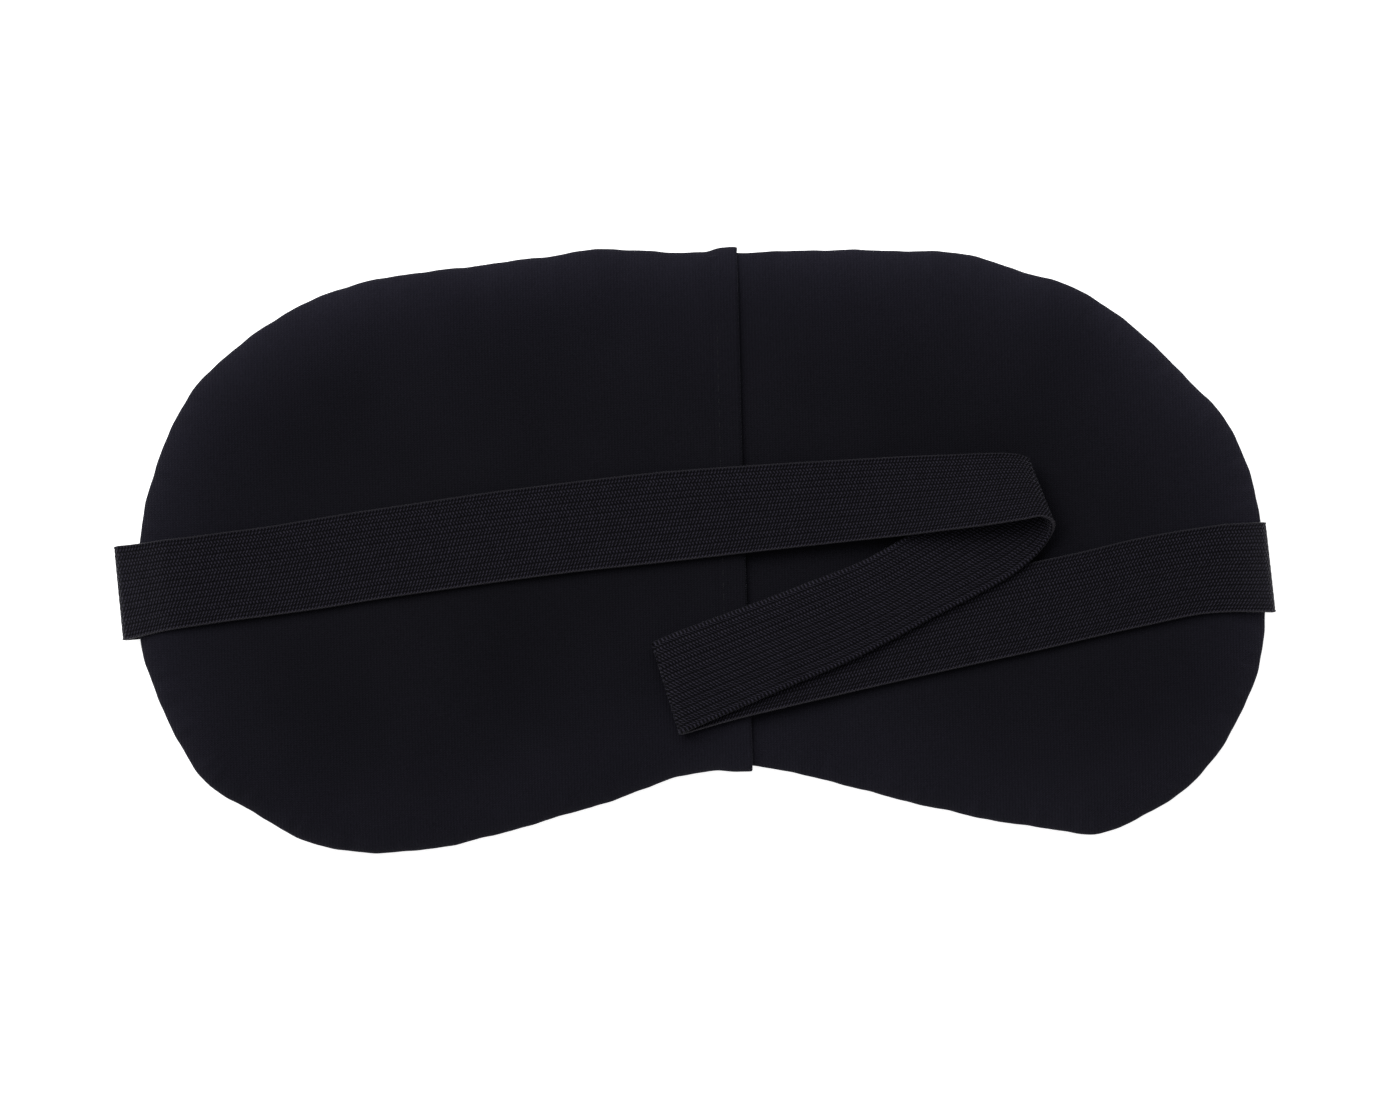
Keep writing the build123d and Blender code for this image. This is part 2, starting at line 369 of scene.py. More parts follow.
def elastic_material():
    """Knitted elastic: staggered upright stitches, lengthwise grooves and edge cords, with painted shade
    and highlights on the stitches, painted highlights on the cords and painted light at its turns.
    """
    m = Nodes("elastic", Roughness=0.65, Specular_IOR_Level=0.06, Sheen_Weight=0.06,
              Sheen_Roughness=0.3, Sheen_Tint=(0.8, 0.8, 0.9, 1))
    vector, (u, v, side) = m.parts("ribbon")
    on_face = m.math("GREATER_THAN", side, 0.0)
    on_back = m.math("SUBTRACT", 1.0, on_face)
    margin = m.math("MINIMUM", v, m.math("SUBTRACT", strap_width, v))
    row = m.math("DIVIDE", v, row_pitch / 2)    # two columns of stitches to a rib
    row_number = m.math("FLOOR", row)
    across = m.math("SUBTRACT", m.math("FRACT", row), 0.5)
    stagger = m.multiply(m.math("MODULO", row_number, 2.0), 0.5)
    row_chance = m.chance(row_number, 3.0)
    slant = m.add(m.linear(row_chance, -1.1, 0.75), m.multiply(on_back, 0.35))
    uneven = m.noise(vector, 0.45, 2)
    stitch = m.add(m.math("DIVIDE", u, stitch_pitch), m.multiply(uneven, 0.6))
    phase = m.add(m.add(stitch, stagger), m.multiply(across, slant))
    wave = m.linear(m.math("COSINE", m.multiply(phase, 2 * pi)), 0.5, 0.5)
    gap = m.math("POWER", m.math("MAXIMUM", m.math("COSINE", m.multiply(across, pi)), 0.0), 0.45)
    stitches = m.multiply(wave, gap)
    loop_wave = m.math("COSINE", m.math("DIVIDE", u, loop_pitch / (2 * pi)))
    loops = m.linear(loop_wave, 0.42, 0.42)
    in_loops = m.multiply(m.math("LESS_THAN", margin, loop_band), on_back)
    knitted = m.choose(in_loops, loops, stitches)
    groove = m.math("ABSOLUTE", m.math("SINE", m.multiply(v, pi / row_pitch)))
    groove = m.math("POWER", groove, 0.45)
    depth = m.linear(on_back, 0.04, 0.50)
    grooved = m.math("SUBTRACT", 1.0, m.multiply(depth, m.math("SUBTRACT", 1.0, groove)))
    fibre = m.noise(vector, 5.0, 3)
    height = m.add(m.multiply(knitted, grooved), m.multiply(fibre, 0.2))
    stitch_chance = m.chance(m.math("FLOOR", m.add(phase, 0.5)), row_number)
    # painted shade and highlights: darker in the holes and grooves, lighter on the raised stitches, and a
    # little lighter all over the back face
    stitch_light_and_shade = m.multiply(height, m.linear(stitch_chance, 0.24, 0.88))
    stitch_light_and_shade = m.multiply(stitch_light_and_shade, m.linear(on_back, 0.06, 1.0))
    # painted light at the turns: the stitches' painted shade washed out and the colour lighter
    _, (painted_light, _, _) = m.parts("painted_light")
    stitch_light_and_shade = m.choose(m.multiply(painted_light, 0.6), 0.5, stitch_light_and_shade)
    body = m.ramp(stitch_light_and_shade, (0.14, (0.0005, 0.0004, 0.0007)), (0.5, (0.0051, 0.0045, 0.0075)),
                  (1.0, (0.0208, 0.0190, 0.0287)))
    body = m.times(body, m.ramp(painted_light, (0.0, 1.0), (1.0, 1.6)))
    is_cord = m.multiply(m.math("LESS_THAN", margin, cord_band), on_face)
    is_lower = m.math("GREATER_THAN", v, strap_width / 2)
    # painted highlight on the edge cords, lighter on the lower cord
    cord_highlight = m.multiply(m.linear(is_lower, 0.5, 0.5), m.linear(fibre, 0.6, 0.7))
    cord = m.ramp(cord_highlight, (0.35, (0.0055, 0.0051, 0.0072)), (1.0, (0.029, 0.027, 0.033)))
    return m.finish(m.mix(is_cord, body, cord), m.bump(height, 0.3, 0.9))


def thread_material():
    """Twisted black sewing thread."""
    m = Nodes("thread", Roughness=0.6, Specular_IOR_Level=0.06, Sheen_Weight=0.01)
    vector, (x, y, z) = m.parts("rest")
    twist = m.math("SINE", m.multiply(m.add(m.add(x, y), z), 14.0))
    fibre = m.noise(vector, 9.0, 3)
    height = m.add(twist, fibre)
    colour = m.ramp(m.linear(height, 0.35, 0.4), (0.1, (0.004, 0.004, 0.0055)),
                    (0.9, (0.011, 0.011, 0.014)))
    return m.finish(colour, m.bump(height, 0.06, 0.8))


def face_material():
    """Smooth black woven cloth on the side towards the eyes."""
    m = Nodes("face_cloth", Roughness=0.6, Specular_IOR_Level=0.3, Sheen_Weight=0.15,
              Sheen_Roughness=0.35, Sheen_Tint=(0.7, 0.7, 0.8, 1))
    vector, (x, y, _) = m.parts("rest")
    warp_pitch, weft_pitch = 0.3, 0.36
    warp = m.math("SINE", m.multiply(x, 2 * pi / warp_pitch))
    weft = m.math("SINE", m.multiply(y, 2 * pi / weft_pitch))
    weave = m.multiply(warp, weft)
    fibre = m.noise(vector, 4.0, 4)
    height = m.add(weave, fibre)
    colour = m.ramp(m.linear(height, 0.3, 0.35), (0.1, (0.008, 0.008, 0.010)),
                    (0.9, (0.017, 0.017, 0.021)))
    return m.finish(colour, m.bump(height, 0.06, 0.7))


def foam_material():
    """Dark open-cell foam."""
    m = Nodes("foam", Roughness=0.95, Specular_IOR_Level=0.1)
    vector, _ = m.parts("rest")
    cells = m.noise(vector, 1.6, 5, 0.7)
    colour = m.ramp(cells, (0.35, (0.012, 0.012, 0.014)), (0.7, (0.06, 0.06, 0.066)))
    return m.finish(colour, m.bump(cells, 0.5, 0.9))


knit = knit_material()
elastic = elastic_material()
thread_look = thread_material()
face_cloth = face_material()
foam = foam_material()


# ---- the mask's outline and its rings ----
half_count = 600       # samples along each half of the outline, upper and lower
middle_share = 0.62    # length of the middle line, as a share of the mask's
ease_count = 90        # samples over which the middle line leaves the height of each tip
ring_pull = 14.0       # the rings leave the rim towards points this far straight in
ring_depths = (0, 0.25, 0.6, 1.05, 1.6, 2.3, 3.1, 4.1, 5.3, 6.8, 8.6)    # of the close rings at the rim
inner_rings = 23


def mask_edge():
    """The outline as evenly spaced points, clockwise from its left tip."""
    line = through(outline, 60, closed=True)
    left, right = line[:, 0].argmin(), line[:, 0].argmax()
    line = np.roll(line, -left, axis=0)
    right = (right - left) % len(line)
    upper = evenly(line[:right + 1], half_count)
    lower = evenly(np.vstack([line[right:], line[:1]]), half_count)
    return np.vstack([upper[:-1], lower[:-1]])


edge = mask_edge()
edge_run = run_of(np.vstack([edge, edge[:1]]))
perimeter = edge_run[-1]
edge_run = edge_run[:-1]
along = np.roll(edge, -1, axis=0) - np.roll(edge, 1, axis=0)
inward = np.stack([along[:, 1], -along[:, 0]], axis=1)
inward /= np.linalg.norm(inward, axis=1)[:, None]


def ripple(seed, waves, sizes):
    """Unevenness round the edge: sine waves of random phase, each a whole number of times round it."""
    phases = np.random.default_rng(seed).uniform(0, 2 * pi, len(waves))
    whole = [perimeter / round(perimeter / wave) for wave in waves]
    return sum(size * np.sin(2 * pi * edge_run / wave + phase)
               for size, wave, phase in zip(sizes, whole, phases))


edge_noise = ripple(3, (41, 23, 14, 8.3, 4.1), (0.08, 0.07, 0.06, 0.05, 0.02))
rim = edge - inward * (edge_noise + fullness)[:, None]


def middle_line():
    """The line along the mask that its rings close on. Its ends are level with the mask's tips."""
    line = np.array([(edge[i] + edge[-i]) / 2 for i in range(half_count + 1)])
    line[:, 0] *= middle_share
    from_left = np.arange(half_count + 1)
    from_end = np.minimum(from_left, half_count - from_left)
    end_y = np.where(from_left < half_count / 2, line[0, 1], line[-1, 1])
    line[:, 1] = end_y + (line[:, 1] - end_y) * smooth(from_end, 0, ease_count)
    return line


middle = middle_line()
# the middle line's sample that each sample of the rim runs in to
centre_index = np.concatenate([np.arange(half_count), np.arange(half_count, 0, -1)])


def ring(share):
    """The rim moved in by a share of the way to the middle line, in plan."""
    pull = rim + inward * ring_pull
    end = middle[centre_index]
    return (1 - share)**2 * rim + 2 * share * (1 - share) * pull + share**2 * end


def plan_grid():
    """Points of all rings in plan, and the quads between them. The last ring is the middle line."""
    rim_shares = np.array(ring_depths) / (2 * ring_pull)
    shares = np.concatenate([rim_shares, np.linspace(rim_shares[-1], 1.0, inner_rings + 1)[1:]])
    points = np.vstack([ring(s) for s in shares[:-1]] + [middle])
    count = 2 * half_count
    last = len(shares) - 1
    faces = []
    for r in range(last):
        here, inner = r * count, (r + 1) * count
        onto = np.arange(count) if r + 1 < last else centre_index
        for k in range(count):
            n = (k + 1) % count
            faces.append((here + k, here + n, inner + onto[n], inner + onto[k]))
    return points, [[v for i, v in enumerate(f) if v != f[i - 1]] for f in faces]


def edge_distance(points, at_once=4000):
    """How far each plan point is from the rim, and the index of the nearest edge sample."""
    distance = np.empty(len(points))
    nearest = np.empty(len(points), int)
    for first in range(0, len(points), at_once):
        block = slice(first, first + at_once)
        gaps = ((points[block, None, :] - rim[None, :, :]) ** 2).sum(axis=2)
        nearest[block] = gaps.argmin(axis=1)
        distance[block] = np.sqrt(gaps.min(axis=1))
    return distance, nearest


def rise(distance, width=crown_width):
    """Share of the crown's height at a distance from the edge: a round shoulder, then a soft slope."""
    t = np.clip(1 - distance / width, 0, 1)
    return (1 - t**2.4) ** 0.6


pucker_wave = ripple(11, (9.7, 6.1, 4.3, 3.1), (0.07, 0.07, 0.06, 0.04))
pucker_wave_front = ripple(23, (9.1, 6.7, 4.6, 3.0), (0.10, 0.10, 0.10, 0.08))


# ---- the cloth's unevenness, by simulation ----
grid_step = 2.5        # of the simulated sheet
sim_scale = 10         # the sheet is simulated as large as a blanket, where the solver is stable
sim_frames = 30
pad_evens = 0.13       # share of the sheet's waves that the foam under it leaves
looseness = 0.003      # how much larger than its outline the sheet is
start_noise = 0.05     # unevenness of the sheet before it settles
smoothings = 3         # passes that round off the settled heights


def settled_heights(xs, ys):
    """Cloth simulation: how high a loose sheet lies on a plan grid when it is sewn down round the rim."""
    heights = np.zeros((len(xs), len(ys)))
    plan = np.array([(x, y) for x in xs for y in ys])
    distance, nearest = edge_distance(plan)
    inside = ((plan - rim[nearest]) * inward[nearest]).sum(axis=1) > 0
    number = np.cumsum(inside) - 1
    faces = []
    for i in range(len(xs) - 1):
        for j in range(len(ys) - 1):
            corners = np.array([i, i + 1, i + 1, i]) * len(ys) + np.array([j, j, j + 1, j + 1])
            if inside[corners].all():
                faces.append(number[corners])
    uneven = np.random.default_rng(5).normal(0, start_noise, inside.sum())
    sheet = piece("loose_sheet", np.column_stack([plan[inside], uneven]) * sim_scale, faces, knit)
    sewn = sheet.vertex_groups.new(name="sewn")
    sewn.add(np.flatnonzero(distance[inside] < 1.2 * grid_step).tolist(), 1.0, "REPLACE")
    modifier = sheet.modifiers.new("cloth", "CLOTH")
    settings = modifier.settings
    settings.quality = 8
    settings.mass = 0.3
    settings.tension_stiffness = settings.compression_stiffness = 15
    settings.shear_stiffness = 5
    settings.bending_stiffness = 12
    settings.shrink_min = -looseness
    settings.vertex_group_mass = "sewn"
    settings.effector_weights.gravity = 0
    modifier.point_cache.frame_end = sim_frames
    for frame_number in range(1, sim_frames + 1):
        bpy.context.scene.frame_set(frame_number)
    settled = bpy.data.meshes.new_from_object(sheet.evaluated_get(bpy.context.evaluated_depsgraph_get()))
    z = np.array([v.co.z for v in settled.vertices]) / MM / sim_scale
    heights.ravel()[inside] = z * pad_evens
    bpy.data.objects.remove(sheet)
    bpy.context.scene.frame_set(1)
    for _ in range(smoothings):
        heights[1:-1, 1:-1] = (heights[1:-1, 1:-1] * 2 + heights[2:, 1:-1] + heights[:-2, 1:-1]
                               + heights[1:-1, 2:] + heights[1:-1, :-2]) / 6
    return heights


grid_x = np.arange(-120, 120.1, grid_step)
grid_y = np.arange(-65, 65.1, grid_step)
grid_heights = settled_heights(grid_x, grid_y)


def swell(points):
    """Height of the settled cloth over its smooth shape, between the points of its grid."""
    i = np.clip((points[:, 0] - grid_x[0]) / grid_step, 0, len(grid_x) - 1.001)
    j = np.clip((points[:, 1] - grid_y[0]) / grid_step, 0, len(grid_y) - 1.001)
    a, b = i.astype(int), j.astype(int)
    s, t = smooth(i - a, 0, 1), smooth(j - b, 0, 1)
    near = grid_heights[a, b] * (1 - s) * (1 - t) + grid_heights[a + 1, b] * s * (1 - t)
    return near + grid_heights[a, b + 1] * (1 - s) * t + grid_heights[a + 1, b + 1] * s * t


# ---- the cloth panels and the pad ----
plan_points, plan_faces = plan_grid()
plan_distance, plan_nearest = edge_distance(plan_points)


def crown_left(x):
    """Crown of the left panel, which steps up onto the lap."""
    step_up = 0.45
    return lap_top - step_up * (1 - smooth(x, lap_start - 14, lap_start + 2))


def crown_right(x):
    """Crown of the right panel, with a slight dip beside the lap's edge."""
    dip_depth, dip_width = 0.25, 3.0
    fuller = 0.55
    dip = dip_depth * np.exp(-((x - lap_edge - 1.0) / dip_width) ** 2)
    return right_top + 0.2 - dip + fuller * smooth(x, lap_edge + 4, lap_edge + 34)


def back_height(points, distance, nearest, crown):
    """Height of the back's outer face: from the seam up to the crown, puckered near the seam."""
    pucker_place, pucker_width = 2.2, 2.6
    puckers = pucker_wave[nearest] * np.exp(-((distance - pucker_place) / pucker_width) ** 2)
    return seam_z + (crown - seam_z) * rise(distance) + puckers + swell(points)


def cut(obj, x, keep_low):
    """Cuts a mesh at a plane of constant x, in millimetres, and keeps one side."""
    with editing(obj) as bm:
        geometry = bm.verts[:] + bm.edges[:] + bm.faces[:]
        bmesh.ops.bisect_plane(bm, geom=geometry, dist=1e-7, plane_co=(x * MM, 0, 0), plane_no=(1, 0, 0),
                               clear_outer=keep_low, clear_inner=not keep_low)


def fold_rows(bm, verts, side, width, radius):
    """Rows of points that take the free edge round its fold and back under the panel."""
    plan = np.array([(v.co.x, v.co.y) for v in verts]) / MM
    distance, _ = edge_distance(plan)
    turns = [(radius * np.sin(a), radius * (1 - np.cos(a))) for a in np.linspace(0, pi, 9)[1:]]
    turns += [(-width * s, 2 * radius) for s in (0.25, 0.5, 0.75, 1.0)]
    rows = [verts]
    for out, down in turns:
        row = []
        for v, d in zip(verts, distance):
            room = float(smooth(d, 0.3, 5.0))
            shift = v.normal * (-down * MM * (0.35 + 0.65 * room))
            row.append(bm.verts.new((v.co.x + side * out * MM, v.co.y + shift.y, v.co.z + shift.z)))
        rows.append(row)
        if down >= radius:    # the part under the panel mustn't come out at the seam
            place = np.array([(v.co.x, v.co.y) for v in row]) / MM
            _, nearest = edge_distance(place)
            depth = ((place - rim[nearest]) * inward[nearest]).sum(axis=1)
            push = inward[nearest] * np.clip(hem_clear - depth, 0, None)[:, None] * MM
            for v, (dx, dy) in zip(row, push):
                v.co.x += dx
                v.co.y += dy
    return rows


def turn_under(obj, x, side, width, radius):
    """Rolls the free edge at x round and back under the panel, as a turned hem."""
    with editing(obj) as bm:
        bm.normal_update()
        border = [e for e in bm.edges
                  if e.is_boundary and all(abs(v.co.x / MM - x) < 0.02 for v in e.verts)]
        verts = sorted({v for e in border for v in e.verts}, key=lambda v: v.index)
        rows = fold_rows(bm, verts, side, width, radius)
        number = {v: i for i, v in enumerate(verts)}
        for e in border:
            a, b = number[e.verts[0]], number[e.verts[1]]
            for upper, lower in zip(rows[:-1], rows[1:]):
                bm.faces.new((upper[a], upper[b], lower[b], lower[a]))
        bmesh.ops.recalc_face_normals(bm, faces=bm.faces)
        if sum(f.normal.z * f.calc_area() for f in bm.faces) < 0:
            bmesh.ops.reverse_faces(bm, faces=bm.faces)


def seam_fold(points, direction):
    """Tucks the outermost cloth in towards the seam, so that a groove shows between the panels."""
    width, depth, drop = 0.7, 0.45, 0.048
    share = 1 - smooth(plan_distance, 0.0, width)
    moved = points.copy()
    moved[:, :2] += inward[plan_nearest] * (depth * share**2)[:, None]
    moved[:, 2] += direction * drop * share
    return moved


def back_panel(name, crown, cut_x, keep_low):
    """One half of the back, from the seam to its free edge at cut_x."""
    z = back_height(plan_points, plan_distance, plan_nearest, crown(plan_points[:, 0]))
    solid = seam_fold(np.column_stack([plan_points, z]), 1)
    obj = piece(name, solid, [f[::-1] for f in plan_faces], knit)
    cut(obj, cut_x, keep_low)
    return obj


def left_panel():
    """Left half of the back. Its hem stands proud of the outline where it is sewn in."""
    obj = back_panel("back_panel_left_cloth", crown_left, lap_edge - hem_radius, keep_low=True)
    turn_under(obj, lap_edge - hem_radius, 1, hem_width, hem_radius)
    p = points_of(obj)
    distance, nearest = edge_distance(p[:, :2])
    near_hem = smooth(p[:, 0], lap_edge - hem_width - 1.5, lap_edge - 3)
    over_lap = smooth(p[:, 0], lap_start - 10, lap_start)
    sewn = (lap_proud * over_lap + (hem_proud - lap_proud) * near_hem) * np.exp(-distance / 3.0)
    p[:, :2] -= inward[nearest] * sewn[:, None]
    hem_groove, groove_width = 0.14, 0.5
    outer_face = p[:, 2] > right_top + 0.6
    groove = np.exp(-((p[:, 0] - (lap_edge - hem_width)) / groove_width) ** 2) * outer_face
    p[:, 2] -= hem_groove * groove
    rib_height, rib_pitch = 0.08, 1.1
    ribs = np.sin(2 * pi * p[:, 0] / rib_pitch) * near_hem * np.exp(-((distance - 3) / 4.0) ** 2)
    p[:, 2] += rib_height * ribs
    bend = np.interp(p[:, 1], (-46, 10, 60), (0.4, -0.25, -0.3))    # the hem isn't quite straight
    p[:, 0] += bend * near_hem
    place_points(obj, p)
    thicken(obj, cloth)
    return obj


def right_panel():
    """Right half of the back. Its hidden end is tucked in, so that the lap covers it."""
    obj = back_panel("back_panel_right_cloth", crown_right, lap_start + hem_radius, keep_low=False)
    turn_under(obj, lap_start + hem_radius, -1, hem_width, hem_radius * 0.85)
    p = points_of(obj)
    distance, nearest = edge_distance(p[:, :2])
    under = 1 - smooth(p[:, 0], lap_edge - 1.5, lap_edge + 1.0)
    tuck = 0.55
    tucked = tuck * under * np.exp(-distance / 4.0)
    p[:, :2] += inward[nearest] * tucked[:, None]
    place_points(obj, p)
    thicken(obj, cloth)
    return obj


def front_panel():
    """Cloth under the whole mask, rounded up to the seam."""
    pucker_place, pucker_width, rounding = 2.0, 2.2, 7.0
    near_pucker = np.exp(-((plan_distance - pucker_place) / pucker_width) ** 2)
    puckers = pucker_wave_front[plan_nearest] * near_pucker
    flat = rise(plan_distance, rounding)
    z = np.maximum(seam_z * (1 - flat) + 0.5 * puckers * (1 - flat), 0)
    solid = seam_fold(np.column_stack([plan_points, z]), -1)
    solid[:, 2] = np.maximum(solid[:, 2], 0)
    obj = piece("front_panel_cloth", solid, plan_faces, face_cloth)
    thicken(obj, cloth)
    return obj


def pad():
    """Foam inside the mask, a closed cushion with a round edge."""
    above_seam, below_seam, rounding = 0.1, seam_z - 0.9, 9.0
    plan = plan_points + inward[plan_nearest] * (pad_inset * np.exp(-plan_distance / 6.0))[:, None]
    shape = rise(plan_distance, rounding)
    top = seam_z + above_seam + (pad_top - above_seam - seam_z) * shape
    under = seam_z + above_seam - below_seam * shape
    points = np.vstack([np.column_stack([plan, top]), np.column_stack([plan, under])])
    count = len(plan)
    faces = [list(f) for f in plan_faces] + [[v + count for v in reversed(f)] for f in plan_faces]
    around = 2 * half_count
    faces += [[k, k + count, (k + 1) % around + count, (k + 1) % around] for k in range(around)]
    obj = piece("foam_pad_core", points, faces, foam)
    with editing(obj) as bm:
        bmesh.ops.recalc_face_normals(bm, faces=bm.faces)
    return obj


# ---- sewing thread ----
def stitch_row(name, centres, directions, length, radius, sag=0.12):
    """Short stitches of thread, each a small bowed tube."""
    around, spans = 8, 5
    points, faces = [], []
    for centre, direction in zip(centres, directions):
        direction = direction / np.linalg.norm(direction)
        sideways = np.cross(direction, (0, 0, 1))
        sideways /= np.linalg.norm(sideways)
        upward = np.cross(sideways, direction)
        base = len(points)
        for s in range(spans + 1):
            t = s / spans - 0.5
            middle_point = centre + direction * length * t - upward * sag * (2 * t) ** 2
            size = radius * (1 - 0.55 * (2 * t) ** 4)
            for k in range(around):
                a = 2 * pi * k / around
                points.append(middle_point + size * (np.cos(a) * sideways + np.sin(a) * upward))
        for s in range(spans):
            for k in range(around):
                n = (k + 1) % around
                a, b = base + s * around, base + (s + 1) * around
                faces.append((a + k, a + n, b + n, b + k))
        faces.append([base + k for k in reversed(range(around))])
        faces.append([base + spans * around + k for k in range(around)])
    obj = piece(name, np.array(points), faces, thread_look)
    keep_rest(obj)
    return obj


def perimeter_stitches():
    """Lockstitches along the seam, down in the groove between back and front."""
    pitch, inside = 2.7, 0.75
    count = round(perimeter / pitch)
    at = (np.arange(count) + 0.5) * perimeter / count
    index = np.searchsorted(edge_run, at) % len(edge)
    plan = edge[index] + inward[index] * inside
    centres = np.column_stack([plan, np.full(count, seam_z)])
    directions = np.column_stack([along[index], np.zeros(count)])
    return stitch_row("perimeter_seam_stitches", centres, directions, 2.2, 0.14)


def hem_row(name, x, crown, count=30, pitch=2.5):
    """A straight row of stitches on a back panel's surface."""
    y = (flap_low + flap_high) / 2 + (np.arange(count) - (count - 1) / 2) * pitch
    plan = np.column_stack([np.full(count, x), y])
    z = back_height(plan, *edge_distance(plan), crown(plan[:, 0]))
    centres = np.column_stack([plan, z - 0.05])
    return stitch_row(name, centres, np.tile((0.0, 1.0, 0.0), (count, 1)), 1.9, 0.13)


def tack_rows(name, node):
    """Two rows of stitches across the strap's end, inside the side seam."""
    (x0, y0, z0), (x1, y1, _) = (np.array(c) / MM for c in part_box(node))
    count, end_gap, edge_gap = 7, 0.2, 0.8
    centres = [(x, y, z0 + 0.15) for x in (x0 + end_gap, x1 - end_gap)
               for y in np.linspace(y0 + edge_gap, y1 - edge_gap, count)]
    return stitch_row(name, np.array(centres), np.tile((0.0, 1.0, 0.0), (2 * count, 1)), 1.6, 0.13)


# ---- the strap ----
# Stations down the strap's two edges: the edge that is upper in plan, then the lower one.
# Each is a point on the middle of the elastic's thickness.
strap_stations = {
    "left_turn": [
        ((-106.5, 2.4, 1.9), (-106.5, -15.9, 1.9)),
        ((-112, 2.6, 1.9), (-111.5, -16.3, 1.9)),
        ((-116, 2.7, 1.85), (-114.8, -16.5, 1.85)),
        ((-117.5, 2.7, 2.2), (-116.1, -16.6, 2.2)),
        ((-118, 2.7, 3.1), (-116.6, -16.6, 3.1)),
        ((-117.5, 2.8, 4.1), (-116.1, -16.5, 4.1)),
        ((-116, 2.9, 4.8), (-114.8, -16.2, 4.8)),
        ((-112, 3.3, 6.3), (-111, -15.4, 6.3)),
        ((-108, 3.8, 7.65), (-107.3, -14.7, 7.65)),
        ((-103.3, 4.2, 8.25), (-102, -14, 8.25)),
        ((-96, 5, 8.5), (-94.5, -13.1, 8.5)),
        ((-87.4, 5.9, 8.5), (-86, -12.2, 8.5)),
        ((-78, 7.2, 8.5), (-76.5, -11.1, 8.5)),
    ],
    "upper": [
        ((-67, 8.7, 8.5), (-65, -9.5, 8.5)),
        ((-55.6, 10.1, 8.5), (-53.4, -8.1, 8.5)),
        ((-46, 11.3, 8.5), (-44, -7, 8.5)),
        ((-27, 13.3, 8.65), (-25.5, -5, 8.65)),
        ((-6.5, 15.1, 8.95), (-5.5, -3.3, 8.95)),
        ((13.9, 16.1, 9.2), (14.5, -1.5, 9.2)),
        ((34, 16.8, 10.1), (34.5, 0.2, 10.2)),
        ((44, 17.1, 10.9), (44, 1, 11.3)),
        ((52.7, 17.2, 11.7), (52, 1.8, 12.6)),
        ((59.5, 17.3, 12.2), (61.5, 2.8, 13.7)),
        ((64.2, 17.2, 12.3), (67.5, 3.6, 14.1)),
        ((67, 16.7, 11.9), (71.3, 4, 13.6)),
        ((68.3, 15.9, 11.3), (73.1, 2.9, 12.7)),
    ],
    "middle": [
        ((68.2, 15.2, 10.2), (73.1, 1, 11.2)),
        ((66.8, 14.2, 9.3), (71.2, -2.2, 10.1)),
        ((62, 11.6, 8.9), (66.2, -6.7, 9.6)),
        ((54, 7.1, 8.9), (57.6, -11.5, 9.6)),
        ((44.5, 1.4, 9.2), (49.3, -15.5, 9.7)),
        ((33.8, -4.2, 9.6), (40.5, -20, 9.8)),
        ((24, -7.8, 9.95), (30.5, -24.7, 9.95)),
        ((13.1, -11.7, 10.1), (19.5, -29, 10.1)),
        ((2, -15.5, 10.1), (8.2, -33.6, 10.1)),
        ((-5.4, -18.1, 10.1), (-0.4, -37.1, 10.1)),
        ((-7.9, -19.1, 9.95), (-2.7, -38.1, 9.95)),
        ((-8.7, -19.5, 9.45), (-3.4, -38.5, 9.45)),
    ],
    "lower": [
        ((-7.9, -19.4, 8.95), (-2.7, -38.4, 8.95)),
        ((-5.4, -19, 8.8), (-0.4, -37.8, 8.8)),
        ((3, -17.3, 8.75), (7, -35.9, 8.75)),
        ((17, -14.7, 8.65), (20.5, -33, 8.65)),
        ((33, -11.7, 8.4), (36, -29.8, 8.4)),
        ((51, -8.4, 8.3), (54, -26.2, 8.3)),
        ((69.1, -5.1, 8.25), (72, -22.7, 8.25)),
        ((78.8, -3.3, 8.25), (81, -20.8, 8.25)),
        ((89.9, -0.9, 8.2), (92.1, -18.6, 8.2)),
    ],
    "right_turn": [
        ((104, 1.2, 8), (104.2, -16.5, 8)),
        ((108.5, 1.7, 7.7), (109.3, -16.3, 7.7)),
        ((111.9, 1.8, 7), (113.2, -16.4, 6.9)),
        ((114.5, 1.9, 5.9), (115.9, -16.5, 5.8)),
        ((116, 1.9, 4.8), (117.6, -16.6, 4.7)),
        ((116.5, 1.9, 3.4), (118.1, -16.6, 3.4)),
        ((116, 1.9, 2.3), (117.6, -16.6, 2.3)),
        ((114.5, 1.9, 1.85), (115.9, -16.5, 1.85)),
        ((111.5, 1.6, 1.9), (112.5, -16.1, 1.9)),
        ((108, 1.6, 1.9), (108.5, -16.1, 1.9)),
    ],
}


def strap_profile(per_row=6):
    """Places across the strap, 0 to 1, and the height there of its two faces."""
    inner = np.linspace(0.028, 0.972, strap_rows * per_row + 1)
    across = np.concatenate([[0, 0.003, 0.009, 0.017], inner, [0.983, 0.991, 0.997, 1]])
    from_edge = np.minimum(across, 1 - across) * strap_width
    round_off = np.sqrt(np.clip(1 - (1 - from_edge / edge_radius) ** 2, 0, 1))
    round_off[from_edge >= edge_radius] = 1
    ribs = np.abs(np.sin(pi * across * strap_rows)) ** 0.6
    cord_place, groove_place = 0.22, 0.62
    cord = np.exp(-((from_edge - cord_place) / 0.17) ** 2)
    groove = np.exp(-((from_edge - groove_place) / 0.2) ** 2)
    face = (half_thickness - 0.05 + 0.05 * ribs + 0.14 * cord - 0.08 * groove) * round_off
    underside = (half_thickness - 0.12 + 0.13 * ribs) * round_off
    return across, face, underside


